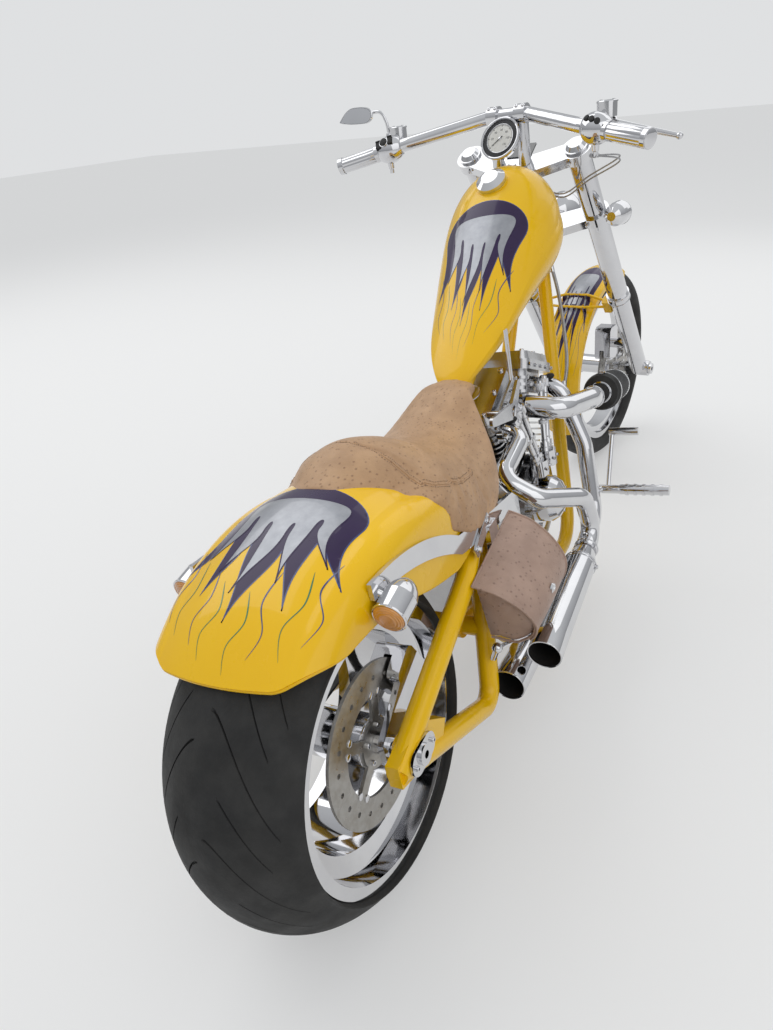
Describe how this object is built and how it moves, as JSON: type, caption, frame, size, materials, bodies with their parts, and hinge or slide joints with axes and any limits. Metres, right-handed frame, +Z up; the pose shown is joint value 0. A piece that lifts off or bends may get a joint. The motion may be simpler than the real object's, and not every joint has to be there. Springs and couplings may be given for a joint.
{
  "type": "chopper motorcycle",
  "caption": "Custom chopper motorcycle with a very wide rear tyre, raked fork, teardrop tank, solo seat and twin exhausts, leaning on its side stand.",
  "frame": {"origin": "on the ground, under the middle of the whole machine's box as it leans on its side stand", "axes": "+X forward, from the rear wheel to the front one; +Y to the rider's left; +Z up"},
  "size_m": [2.6438, 1.0162, 1.2908],
  "materials": {
    "aluminium": "polished",
    "black_parts": "matte",
    "chrome": "polished",
    "leather": "satin",
    "rubber": "matte",
    "steel": "brushed",
    "tyre": "matte",
    "yellow_paint": "gloss"
  },
  "bodies": {
    "chassis": {"rear_axle": "chrome", "swingarm_right": "yellow_paint", "swingarm_left": "yellow_paint", "frame_backbone": "yellow_paint", "frame_cradle_right": "yellow_paint", "frame_cradle_left": "yellow_paint", "rear_fender": "yellow_paint", "fuel_tank": "yellow_paint", "fuel_cap": "chrome", "seat": "leather", "fender_strut_right": "chrome", "fender_strut_left": "chrome", "crankcase": "aluminium", "cam_cover": "chrome", "cylinder_rear": "aluminium", "cylinder_front": "aluminium", "pushrods": "chrome", "primary_cover": "chrome", "drive_belt": "rubber", "oil_tank": "black_parts", "air_filter": "chrome", "exhaust_front": "chrome", "exhaust_rear": "chrome", "tool_bag": "leather", "foot_control_right": "chrome", "foot_control_left": "chrome", "rear_caliper": "chrome"},
    "steering": {"fork_clamps": "chrome", "fork_leg_right": "chrome", "fork_leg_left": "chrome", "front_fender": "yellow_paint", "front_caliper": "chrome", "front_axle": "chrome", "handlebar": "chrome", "hand_control_right": "chrome", "hand_control_left": "chrome", "mirror_left": "chrome", "gauge": "chrome", "headlight": "chrome", "front_signal_right": "chrome", "front_signal_left": "chrome"},
    "front_wheel": {"front_tyre": "tyre", "front_rim": "chrome", "front_disc": "steel"},
    "rear_wheel": {"rear_tyre": "tyre", "rear_rim": "chrome", "rear_disc": "steel", "rear_pulley": "aluminium"},
    "side_stand": {"side_stand": "chrome"}
  },
  "joints": [
    {"name": "rear_wheel_spin", "type": "hinge", "parent": "chassis", "child": "rear_wheel", "pos_m": [-0.99704, -0.10793, 0.32344], "axis": [0.0001, 0.9903, -0.1392], "continuous": true},
    {"name": "steering_turn", "type": "hinge", "parent": "chassis", "child": "steering", "pos_m": [0.41965, -0.01267, 1.00179], "axis": [-0.5881, 0.1126, 0.8009], "range_deg": [-21.5, 42.5]},
    {"name": "front_wheel_spin", "type": "hinge", "parent": "steering", "child": "front_wheel", "pos_m": [0.97411, -0.11559, 0.35087], "axis": [0.1474, 0.9886, -0.0307], "continuous": true},
    {"name": "side_stand_fold", "type": "hinge", "parent": "chassis", "child": "side_stand", "pos_m": [-0.29696, 0.02665, 0.09575], "axis": [0.0719, 0.4648, 0.8825], "range_deg": [0, 103.82]}
  ]
}
